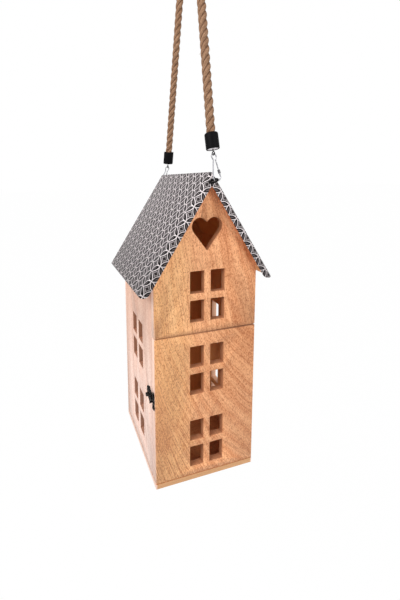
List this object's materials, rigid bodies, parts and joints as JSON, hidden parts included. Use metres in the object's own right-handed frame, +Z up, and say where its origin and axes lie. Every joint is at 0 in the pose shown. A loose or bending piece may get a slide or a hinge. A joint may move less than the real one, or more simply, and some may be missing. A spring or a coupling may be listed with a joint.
{
  "type": "house lantern",
  "caption": "Wooden candle lantern shaped as a tall gabled house, with pane and heart cut-outs, a hinged door, a folded metal roof and a rope on snap hooks.",
  "frame": {"origin": "underside of the rope at its highest point, where the lantern hangs", "axes": "+Z up, +X to the right of someone who faces the door, +Y from the door to the back"},
  "size_m": [0.1888, 0.1982, 0.8053],
  "materials": {
    "wood": "planed mango wood, oiled",
    "printed_tin": "tin sheet printed with interlocking circles in black, grey and white",
    "jute": "three-strand laid jute rope",
    "bright_steel": "bright wire",
    "black": "black enamel",
    "dark_bronze": "antiqued dark bronze"
  },
  "bodies": {
    "house": {"back_cap_disc": "bright_steel", "back_end_cap": "black", "back_panel": "wood", "back_screw_eye": "black", "base_board": "wood", "base_screw_1": "bright_steel", "base_screw_2": "bright_steel", "base_screw_3": "bright_steel", "base_screw_4": "bright_steel", "front_cap_disc": "bright_steel", "front_end_cap": "black", "front_screw_eye": "black", "gable_panel": "wood", "hanging_rope": "jute", "latch_plate": "dark_bronze", "latch_plate_screw_1": "dark_bronze", "latch_plate_screw_2": "dark_bronze", "latch_rivet": "dark_bronze", "left_wall": "wood", "lower_hinge_pin": "dark_bronze", "lower_hinge_wall_leaf": "dark_bronze", "lower_hinge_wall_leaf_screw_1": "bright_steel", "lower_hinge_wall_leaf_screw_2": "bright_steel", "ridge_beam": "wood", "right_wall": "wood", "roof_sheet": "printed_tin", "upper_hinge_pin": "dark_bronze", "upper_hinge_wall_leaf": "dark_bronze", "upper_hinge_wall_leaf_screw_1": "bright_steel", "upper_hinge_wall_leaf_screw_2": "bright_steel"},
    "door": {"catch_plate": "dark_bronze", "catch_plate_screw_1": "dark_bronze", "catch_plate_screw_2": "dark_bronze", "catch_stud": "dark_bronze", "door": "wood", "lower_hinge_door_leaf": "dark_bronze", "lower_hinge_door_leaf_screw_1": "bright_steel", "lower_hinge_door_leaf_screw_2": "bright_steel", "upper_hinge_door_leaf": "dark_bronze", "upper_hinge_door_leaf_screw_1": "bright_steel", "upper_hinge_door_leaf_screw_2": "bright_steel"},
    "latch": {"latch_hook": "dark_bronze"},
    "front_hook": {"front_snap_hook": "bright_steel", "front_swivel_eye": "dark_bronze"},
    "back_hook": {"back_snap_hook": "bright_steel", "back_swivel_eye": "dark_bronze"},
    "front_gate": {"front_snap_gate": "bright_steel", "front_gate_sleeve": "black"},
    "back_gate": {"back_snap_gate": "bright_steel", "back_gate_sleeve": "black"}
  },
  "joints": [
    {"name": "door_hinge", "type": "hinge", "parent": "house", "child": "door", "pos_m": [0.0659, -0.06585, -0.6846], "axis": [0, 0, 1], "range_deg": [0, 180]},
    {"name": "latch_swing", "type": "hinge", "parent": "house", "child": "latch", "pos_m": [-0.08885, -0.0544, -0.6661], "axis": [-1, 0, 0], "range_deg": [-13, 257]},
    {"name": "front_swivel", "type": "hinge", "parent": "house", "child": "front_hook", "pos_m": [-0.00977, -0.08685, -0.33755], "axis": [-0.0405, 0.1771, 0.9834], "range_deg": [-12, 12]},
    {"name": "front_gate_spring", "type": "hinge", "parent": "front_hook", "child": "front_gate", "pos_m": [-0.00687, -0.08955, -0.35277], "axis": [0, 0.9848, -0.1736], "range_deg": [0, 22], "stiffness_Nm_per_rad": 0.1},
    {"name": "back_swivel", "type": "hinge", "parent": "house", "child": "back_hook", "pos_m": [0.00216, 0.08897, -0.3452], "axis": [0.0146, -0.1794, 0.9837], "range_deg": [-4, 4]},
    {"name": "back_gate_spring", "type": "hinge", "parent": "back_hook", "child": "back_gate", "pos_m": [0.00088, 0.09108, -0.36079], "axis": [0, 0.994, 0.1097], "range_deg": [0, 22], "stiffness_Nm_per_rad": 0.1}
  ]
}
